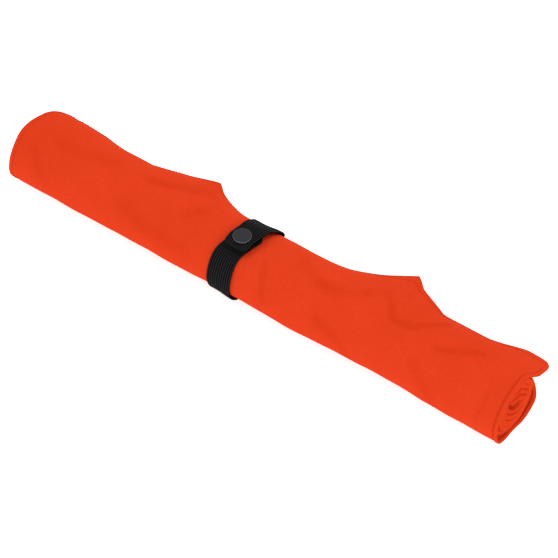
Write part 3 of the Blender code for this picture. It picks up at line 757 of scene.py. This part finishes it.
def mark_cloth(mesh):
    """Mark each point's depth in a fold, as painted shade, from the folds' own formula, and whether it lies
    inside, for the inside's painted shade and glow.
    """
    x, y, z = vertex_vectors(mesh, "co")
    _, normal_y, normal_z = vertex_vectors(mesh, "normal")
    z = z - AXIS_Z
    radius = np.hypot(y, z)
    on_outside = grow(radius, (ROLL_RADIUS - 0.004, 0.002))
    dark = np.clip(fold_depth(x, np.degrees(np.arctan2(z, -y))) * FOLD_SHADE, 0, 0.8)
    set_attribute(mesh, "fold", dark * on_outside)
    outward = (normal_y * y + normal_z * z) / radius
    set_attribute(mesh, "inside", 1 - on_outside * grow(outward, (-0.3, 0.4)))


mark_cloth(blanket.data)
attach(blanket, "roll")
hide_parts("blanket_sheet", "hem_right_end", "hem_left_end", "hem_free_edge", "hem_inner_edge")
print("blanket", len(blanket.data.polygons), "faces")

# %% [markdown]
# ## Stitches
#
# A lock stitch shows as a row of short thread grains, each dipping into the cloth at both ends.
# One grain is a stretched ball of a few dozen faces. A row is copies of it, placed by the seam's
# direction and the cloth's outward direction, all as one array.

# %% Thread material and rows of stitches
STITCH = 0.0028  # from one needle hole to the next
STITCH_GAP = 0.0003
THREAD_RADIUS = 0.00024
THREAD_LIFT = 0.0002  # a thread on the strap lies this far out of its dip
GRAIN_SIDES = 6
GRAIN_RINGS = 5


def thread_material(name, colour, dark):
    """Spun polyester thread: two plies twisted together, drawn as slanting ridges."""
    made, tree, shader = new_material(name)
    place = add_node(tree, "ShaderNodeTexCoord").outputs["Object"]
    ply = add_node(tree, "ShaderNodeTexWave", {"Vector": place, "Scale": 700.0, "Distortion": 1.0},
                   wave_type="BANDS", bands_direction="DIAGONAL").outputs["Fac"]
    connect(tree, shader, {
        "Base Color": blend_colours(tree, ply, linear(dark), linear(colour)), "Roughness": 0.8,
        "Specular IOR Level": 0.1, "Normal": bump(tree, ply, 0.4, 0.0001)})
    return made


def capped_rings(rings, poles):
    """Points and faces of a closed solid: rings of equal count, and a pole at each end."""
    points = np.concatenate([rings.reshape(-1, 3), poles])
    numbers = np.arange(rings.shape[0] * rings.shape[1]).reshape(rings.shape[:2])
    numbers = np.concatenate([numbers, numbers[:, :1]], axis=1)
    faces = quads(numbers).tolist()
    for ring, pole in ((numbers[0], len(points) - 2), (numbers[-1], len(points) - 1)):
        faces += [[ring[i], ring[i + 1], pole] for i in range(rings.shape[1])]
    return points, faces


def grain():
    """A closed grain of thread along X: rings of radius sqrt(1 - t^2.5), and a point at each end."""
    t = np.linspace(-0.92, 0.92, GRAIN_RINGS)
    turn = np.arange(GRAIN_SIDES) * 2 * math.pi / GRAIN_SIDES
    size = np.sqrt(1 - np.abs(t) ** 2.5)[:, None]
    rings = np.stack(np.broadcast_arrays(t[:, None], size * np.cos(turn), size * np.sin(turn)), -1)
    return capped_rings(rings, [[-1, 0, 0], [1, 0, 0]])


def stitch_row(name, paths, material, body, replaced):
    """Stitches along several lines. Each path is (points, outward directions) of equal length."""
    base, base_faces = grain()
    starts, ends, ups = [], [], []
    for points, outward in paths:
        length = np.concatenate([[0], np.cumsum(np.linalg.norm(np.diff(points, axis=0), axis=1))])
        marks = np.arange(STITCH, length[-1] - STITCH, STITCH)
        half_gap = STITCH_GAP / 2
        wanted = ((starts, points, half_gap), (ends, points, STITCH - half_gap), (ups, outward, STITCH / 2))
        for found, values, past in wanted:
            found.append(np.stack([np.interp(marks + past, length, column) for column in values.T], axis=1))
    start, end, up = (np.concatenate(part) for part in (starts, ends, ups))
    along = (end - start) / 2
    up = up / np.linalg.norm(up, axis=1, keepdims=True)
    side = np.cross(up, along)
    side = side / np.linalg.norm(side, axis=1, keepdims=True)
    centre = (start + end) / 2
    lift = up[:, None, :] * (1 - base[None, :, 0:1] ** 2) * THREAD_RADIUS * 0.5
    points = (centre[:, None, :] + base[None, :, 0:1] * along[:, None, :]
              + base[None, :, 1:2] * side[:, None, :] * THREAD_RADIUS
              + base[None, :, 2:3] * up[:, None, :] * THREAD_RADIUS + lift)
    shift = np.arange(len(centre)) * len(base)
    faces = [[i + s for i in face] for s in shift.tolist() for face in base_faces]
    piece = link_object(name, mesh_from(name, points, faces), material)
    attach(piece, body)
    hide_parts(*replaced)
    print(name, len(centre), "stitches")
    return piece


orange_thread = thread_material("orange_polyester_thread", "#cb3a1c", "#b83113")
black_thread = thread_material("black_polyester_thread", "#262626", "#0d0d0d")


def seam_line(rows, cols, face_grid, other_grid):
    """A line across the sheet's grids, with the direction from one face to the other outwards."""
    line = face_grid[rows, cols]
    outward = line - other_grid[rows, cols]
    outward = outward / np.linalg.norm(outward, axis=1, keepdims=True)
    return line + outward * THREAD_RADIUS * 0.3, outward


seam_step = int(np.abs(EDGE_STEPS - SEAM).argmin())
row_numbers = np.arange(seam_step, len(angle_grid) - seam_step)
column_numbers = np.arange(seam_step, len(columns) - seam_step)
seams = {
    "right_end": (row_numbers, np.full_like(row_numbers, len(columns) - 1 - seam_step)),
    "left_end": (row_numbers, np.full_like(row_numbers, seam_step)),
    "free_edge": (np.full_like(column_numbers, seam_step), column_numbers),
    "inner_edge": (np.full_like(column_numbers, len(angle_grid) - 1 - seam_step), column_numbers),
}
for place, (rows, cols) in seams.items():
    both_faces = [seam_line(rows, cols, *grids)
                  for grids in ((outer_grid, inner_grid), (inner_grid, outer_grid))]
    stitch_row("stitches_" + place, both_faces, orange_thread, "roll",
                                   ["thread_" + place])

# %% [markdown]
# ## The elastic strap
#
# Woven elastic has rubber cords running along it, and each shows as a rounded rib, two
# millimetres from the next. Fine weft yarns cross the ribs. The ribs are real shape here, a
# raised cosine across the band, and the weft is bump. The band is drawn in three lengths: round
# the roll, over the back, and the tab. Two of them curve smoothly past a hinge, and each meets the
# next at a set angle. Only the length round the roll rides on a body.

# %% Points of the strap
STRAP_RIBS = 11
RIB_HEIGHT = 0.00032
RIB_POINTS = 7  # grid columns per rib
BAND_EDGE = 0.0004  # the selvedge's rounding
LEAST_EDGE = 0.1  # the share of the thickness left at the very edge
SNAP_ANGLE = 79.5
SNAP_TILT = 5.0
TAB_END_ANGLE = 64.0
TAB_FLAT_ANGLE = 12.5
TAB_STITCH_ANGLE = 94.5
TAB_DOUBLE_END_ANGLE = 97.5
TAB_HINGE_ANGLE = 101.5
LANDING_ANGLE = 132.0
STUD_END_ANGLE = 106.0
TAB_CORNER = 0.0045
STRAP_FLARES = ((328.0, 0.0012), (140.0, 0.0014))  # the right edge stands off: angle, height
FLARE_REACH = 30  # degrees
TACK_ANGLES = (226.0, 240.0)
STITCH_DIP = 0.0005
FLOOR_GAP = 0.0003  # under the roll the strap stays this far off the floor
TAB_BASE = 0.0046917  # the fastener's height: from the strap's inner face to the tab
TAB_TOP = TAB_BASE + 2 * STRAP


def strap_point(across, angle, height):
    """A point of the strap: radius = strap base + height + flare, never under the floor."""
    flare = sum(size * bell((angle - at) / FLARE_REACH) for at, size in STRAP_FLARES)
    radius = STRAP_BASE + height + flare * grow(across / STRAP_WIDTH, (-0.2, 0.7))
    x = strap_middle(angle) + across
    y, z = polar(radius, angle)
    z = np.maximum(z, FLOOR_GAP + STRAP - height)
    return np.stack([x, y, z], axis=-1)


def tab_rise(angle):
    """How much higher than an arc the tab lies: it is flat over the fastener, and leans with it."""
    flat = np.minimum(angle, SNAP_ANGLE + TAB_FLAT_ANGLE)
    lean = np.radians(SNAP_TILT)
    plane = np.cos(lean) / np.cos(np.radians(flat - SNAP_ANGLE) - lean)
    return (STRAP_BASE + TAB_BASE) * (plane - 1) - SNAP_DENT


def rib_profile(share):
    """Height across the band: ribs as (1 + cos)/2, and a rounded selvedge. share is -1 to 1."""
    ribs = 0.5 + 0.5 * np.cos(math.pi * (share * STRAP_RIBS + (STRAP_RIBS + 1) % 2))
    return ribs, round_edge((1 - np.abs(share)) * STRAP_WIDTH / 2, BAND_EDGE)


# %% [markdown]
# The elastic's yarn is textured black polyester, dull and slightly hairy. Its ribs are painted
# lighter on top, as a painted highlight, and nearly black between, as painted shade. The weft
# crosses them every 0.5 mm, drawn at 0.9 mm so that it shows.

# %% Elastic material
WEFT = 0.0009
# Painted shade in the grooves and a painted highlight on the crowns.
ELASTIC_GROOVE_SHADE = "#010101"
ELASTIC_CROWN_HIGHLIGHT = "#37373a"


def elastic_material():
    """Painted shade in the grooves and a painted highlight on the crowns: rib + weft * rib, from two sines,
    and lint.
    """
    made, tree, shader = new_material("black_woven_elastic")
    place = cloth_place(tree)
    weft = math_node(tree, "SINE", math_node(tree, "MULTIPLY", place["Y"], 2 * math.pi / WEFT))
    rib_turn = math_node(tree, "MULTIPLY", place["X"], math.pi * STRAP_RIBS / (STRAP_WIDTH / 2))
    rib = math_node(tree, "COSINE", rib_turn)
    knit = math_node(tree, "MULTIPLY_ADD", weft, rib, rib)
    lint = mottle(tree, 900.0, 0.0, 0.12, detail=2.0)
    # Painted highlight on the rib crowns, painted shade between them, and lint.
    crown_highlight_and_lint = math_node(tree, "ADD", map_range(tree, knit, 0.1, 2.0), lint)
    colour = blend_colours(tree, crown_highlight_and_lint, linear(ELASTIC_GROOVE_SHADE), linear(ELASTIC_CROWN_HIGHLIGHT))
    connect(tree, shader, {"Base Color": colour, "Roughness": 0.9, "Specular IOR Level": 0.03,
                           "Normal": bump(tree, knit, 0.6, 0.00012)})
    return made


elastic = elastic_material()
print(elastic.name, "has", len(elastic.node_tree.nodes), "nodes")
selvedge = np.array([0.975, 0.99, 1.0])
strap_share = np.linspace(-0.96, 0.96, STRAP_RIBS * RIB_POINTS)
strap_share = np.concatenate([-selvedge[::-1], strap_share, selvedge])


def strap_piece(name, angles, bottom, top, half_width, shift=0.0, round_ends=(False, False)):
    """A length of elastic. Heights and half width are given at each angle, ribs are added."""
    ribs, edge = rib_profile(strap_share)
    across = half_width[:, None] * strap_share[None, :] + np.broadcast_to(shift, angles.shape)[:, None]
    grid = np.repeat(angles[:, None], len(strap_share), axis=1)
    middle = ((bottom + top) / 2)[:, None]
    half = ((top - bottom) / 2)[:, None]
    turned_by = np.cumsum(np.abs(np.radians(np.diff(angles))))
    length = np.concatenate([[0], turned_by * (STRAP_BASE + STRAP / 2)])
    ends = np.ones(len(angles))
    for is_round, distance in zip(round_ends, (length, length[-1] - length)):
        if is_round:
            ends = np.minimum(ends, round_edge(distance, BAND_EDGE) * (1 - LEAST_EDGE) + LEAST_EDGE)
    ends = ends[:, None]
    reach = half * (LEAST_EDGE + (1 - LEAST_EDGE) * edge[None, :]) * ends
    groove = RIB_HEIGHT * (1 - ribs)[None, :] * ends
    outer = strap_point(across, grid, middle + reach - groove)
    inner = strap_point(across, grid, middle - reach + 0.5 * groove)
    uv = np.stack(np.broadcast_arrays(strap_share[None, :] * STRAP_WIDTH / 2, length[:, None]), axis=-1)
    piece = slab(name, outer, inner, uv, elastic)
    return piece


# %% The lengths of the strap
STUD_END_TAPER = 0.0040  # the stud end's corners are cut off
TAPER_ANGLE = 13
WRAP_ROWS, BACK_ROWS, FRONT_ROWS, CORNER_ROWS = 210, 48, 90, 12
LINK_MIDDLE_ANGLE = 127.0  # the two bending lengths meet here
ROLL_SIDE_ANGLE = 166.0  # and the fixed length starts here
BEND_SPREAD = 0.23  # the elastic is wider by this share where it bends over the top
BEND_SPREAD_ANGLES = (142.0, 25.0)


def stitched(angle, top, centres, half_angle=1.0):
    """The outer height, pulled in along each line of stitches."""
    for centre in centres:
        top = top - STITCH_DIP * bell((angle - centre) / half_angle)
    return top


def spread(angle):
    """The strap's width as a share of its usual one: 1 + a bell curve over the bend."""
    middle, reach = BEND_SPREAD_ANGLES
    return 1 + BEND_SPREAD * bell((angle - middle) / reach)


wrap_angles = np.linspace(ROLL_SIDE_ANGLE, STUD_END_ANGLE + 360, WRAP_ROWS)
wrap_dent = snap_dent(wrap_angles - 360)
wrap_top = stitched(wrap_angles, STRAP - wrap_dent, TACK_ANGLES)
half_strap = STRAP_WIDTH / 2
taper = STUD_END_TAPER * smoothstep((wrap_angles - STUD_END_ANGLE - 360) / TAPER_ANGLE + 1)
wrap_width = half_strap * spread(wrap_angles) - taper
strap_body = strap_piece("elastic_round_roll", wrap_angles, -wrap_dent, wrap_top, wrap_width,
                         round_ends=(False, True))
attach(strap_body, "roll")
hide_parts("strap_wrap")


def link_bottom(angle):
    """The underside of the strap behind the tab, falling from the tab's level to the roll."""
    fall = smoothstep((LANDING_ANGLE - angle) / (LANDING_ANGLE - TAB_HINGE_ANGLE))
    return (TAB_TOP + tab_rise(TAB_HINGE_ANGLE) - STRAP) * fall


back_angles = np.linspace(LINK_MIDDLE_ANGLE, ROLL_SIDE_ANGLE, BACK_ROWS)
back_bottom = link_bottom(back_angles)
strap_back = strap_piece("elastic_back_bend", back_angles, back_bottom, back_bottom + STRAP,
                         half_strap * spread(back_angles))
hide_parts("strap_link")

radius_top = STRAP_BASE + TAB_TOP
corner_steps = TAB_CORNER * (1 - np.cos(np.radians(np.linspace(0, 90, CORNER_ROWS))))
corner_angles = TAB_END_ANGLE + np.degrees(corner_steps / radius_top)
front_angles = np.linspace(corner_angles[-1], LINK_MIDDLE_ANGLE, FRONT_ROWS)
front_angles = np.concatenate([corner_angles, front_angles[1:]])
from_tab_end = np.radians(front_angles - TAB_END_ANGLE) * radius_top
inset = TAB_CORNER - np.sqrt(TAB_CORNER ** 2 - np.clip(TAB_CORNER - from_tab_end, 0, None) ** 2)
front_width = half_strap * spread(front_angles) - inset
on_tab = front_angles < TAB_HINGE_ANGLE
front_top = np.where(on_tab, TAB_TOP + tab_rise(front_angles), link_bottom(front_angles) + STRAP)
front_top = stitched(front_angles, front_top, [TAB_STITCH_ANGLE], 1.2)
single = smoothstep((front_angles - TAB_DOUBLE_END_ANGLE) / 0.8)
front_bottom = np.where(on_tab, TAB_BASE + STRAP * single + tab_rise(front_angles),
                        link_bottom(front_angles))
front_middle = strap_middle(front_angles)
straight = np.maximum(front_middle, strap_middle(SNAP_ANGLE)) - front_middle
strap_front = strap_piece("elastic_tab", front_angles, front_bottom, front_top, front_width,
                          straight, (True, False))
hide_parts("strap_tab")


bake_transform(strap_back)
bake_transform(strap_front)
print("faces:", [(part.name, len(part.data.polygons)) for part in (strap_body, strap_back, strap_front)])

# %% Stitches of the strap
ROW_SHARE = 0.9  # a row of stitches is this much of the strap's width
ROW_POINTS = 30


def cross_row(name, angle, height, body, node):
    """A row of black stitches across the strap's outer face, at one angle."""
    across = np.linspace(-ROW_SHARE, ROW_SHARE, ROW_POINTS) * half_strap
    angles = np.full(across.shape, angle)
    points = strap_point(across, angles, height - STITCH_DIP + THREAD_LIFT)
    turn = np.radians(angles)
    outward = np.stack([np.zeros_like(turn), -np.cos(turn), np.sin(turn)], axis=1)
    return stitch_row(name, [(points, outward)], black_thread, body, [node])


tab_seam_top = TAB_TOP + float(tab_rise(TAB_STITCH_ANGLE))
cross_row("stitches_tab", TAB_STITCH_ANGLE, tab_seam_top, "tab", "tab_stitch")
cross_row("stitches_tack_upper", TACK_ANGLES[0], STRAP, "roll", "strap_tack_upper")
cross_row("stitches_tack_lower", TACK_ANGLES[1], STRAP, "roll", "strap_tack_lower")

# %% [markdown]
# ## The press fastener
#
# Its parts are stamped from brass strip and then plated: the cap that is seen in a dark
# gunmetal, the rest in bright nickel. The spring is steel wire. The parts that are hidden while
# the strap is closed stay as the solids made them. The cap could have been bevelled from its
# solid, but a profile turned about its axis gives it a rolled rim and a slightly sunk face.

# %% Metals
# The cap's rim colour: wear, and a painted highlight on its edge.
WORN_RIM_AND_HIGHLIGHT = "#6a686d"


def plated_material(name, colour, worn_colour, roughness, metallic, grain_scale):
    """Plating with fine scuffs in two shades, uneven gloss, and a rim painted lighter, as wear and as a
    painted highlight.
    """
    made, tree, shader = new_material(name)
    scuffs = mottle(tree, grain_scale, 0.0, 1.0, detail=6.0)
    plating = blend_colours(tree, scuffs, linear(colour), linear(worn_colour))
    # The rim is painted lighter: wear, and a painted highlight.
    plating = blend_colours(tree, attribute(tree, "rim"), plating, linear(WORN_RIM_AND_HIGHLIGHT))
    rough = mottle(tree, grain_scale * 1.7, roughness - 0.06, roughness + 0.08)
    connect(tree, shader, {"Base Color": plating, "Roughness": rough, "Metallic": metallic,
                           "Specular IOR Level": 0.25, "Normal": bump(tree, scuffs, 0.15, 0.00005)})
    return made


gunmetal = plated_material("gunmetal_plated_brass", "#17161b", "#1e1d22", 0.58, 0.12, 500.0)
nickel = plated_material("nickel_plated_brass", "#b9b8b3", "#9c9a94", 0.28, 1.0, 700.0)
spring_steel = plated_material("spring_steel_wire", "#8f9093", "#75767a", 0.30, 1.0, 900.0)
for node, metal in (("snap_socket", nickel), ("snap_stud", nickel), ("snap_post", nickel),
                    ("snap_spring", spring_steel)):
    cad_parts[node].data.materials.clear()
    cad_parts[node].data.materials.append(metal)
    print(node, metal.name)

# %% The cap
CAP_RADIUS = 0.0075
CAP_BASE = TAB_TOP + 0.0004
CAP_THICKNESS = 0.0010
CAP_SIDES = 96
CAP_RIM = 0.00045  # the rolled rim's radius
CAP_INNER_RIM = 0.0004  # and that of its shoulder
CAP_LEAN = -1.5  # degrees about X; the cap is pulled nearly level


def arc(centre, radius, start, end, count):
    """Points of an arc in the profile's plane, angles in degrees."""
    turn = np.radians(np.linspace(start, end, count))
    return np.stack([centre[0] + radius * np.cos(turn), centre[1] + radius * np.sin(turn)], axis=1)


def turned(profile, sides):
    """A solid turned about Z from (radius, height) points, the first and last on the axis."""
    turn = np.arange(sides) * 2 * math.pi / sides
    radius, height = profile[1:-1, :1], profile[1:-1, 1:]
    rings = np.stack(np.broadcast_arrays(radius * np.cos(turn), radius * np.sin(turn), height), -1)
    return capped_rings(rings, [[0, 0, profile[0][1]], [0, 0, profile[-1][1]]])


def on_snap_axis(points):
    """Turn points from the fastener's own axis into the frame: tilt about X, then move."""
    tilt = math.radians(CAP_LEAN)
    cos, sin = math.cos(tilt), math.sin(tilt)
    x, y, z = points.T
    base = strap_point(np.array(0.0), np.array(SNAP_ANGLE), np.array(-SNAP_DENT))
    base[0] = (cap_low[0] + cap_high[0]) / 2
    return np.stack([x, y * cos - z * sin, y * sin + z * cos], axis=1) + base


cap_low, cap_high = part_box("snap_cap")
cap_top = CAP_BASE + CAP_THICKNESS
face = ((0, 0.00022), (0.0030, 0.00020), (0.0052, 0.00012), (0.0060, 0.00002))  # radius, depth
rim_middle = CAP_RADIUS - CAP_RIM
cap_profile = np.concatenate([
    [[radius, cap_top - depth] for radius, depth in face],
    arc((rim_middle - CAP_INNER_RIM, cap_top - CAP_INNER_RIM), CAP_INNER_RIM, 100, 60, 4),
    arc((rim_middle, cap_top - CAP_RIM - 0.0001), CAP_RIM, 60, -60, 8),
    [[CAP_RADIUS - 0.0007, CAP_BASE], [0.0015, CAP_BASE], [0, CAP_BASE]],
])
cap_points, cap_faces = turned(cap_profile, CAP_SIDES)
cap_mesh = mesh_from("cap_disc", on_snap_axis(cap_points), cap_faces, sharp=50)
cap = link_object("cap_disc", cap_mesh, gunmetal)
cap_places = vertex_vectors(cap_mesh, "co")
cap_middle = cap_places.mean(axis=1)
from_axis = np.hypot(cap_places[0] - cap_middle[0], cap_places[1] - cap_middle[1])
# Marks the cap's rim for its lighter colour: wear and a painted highlight.
set_attribute(cap_mesh, "rim", grow(from_axis, (CAP_RADIUS - 0.00025, 0.0002)))
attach(cap, "tab")
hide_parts("snap_cap")
print("the cap's middle", np.round(cap_middle * 1000, 1),
      "and the solid's", np.round((np.array(cap_low) + np.array(cap_high)) * 500, 1))
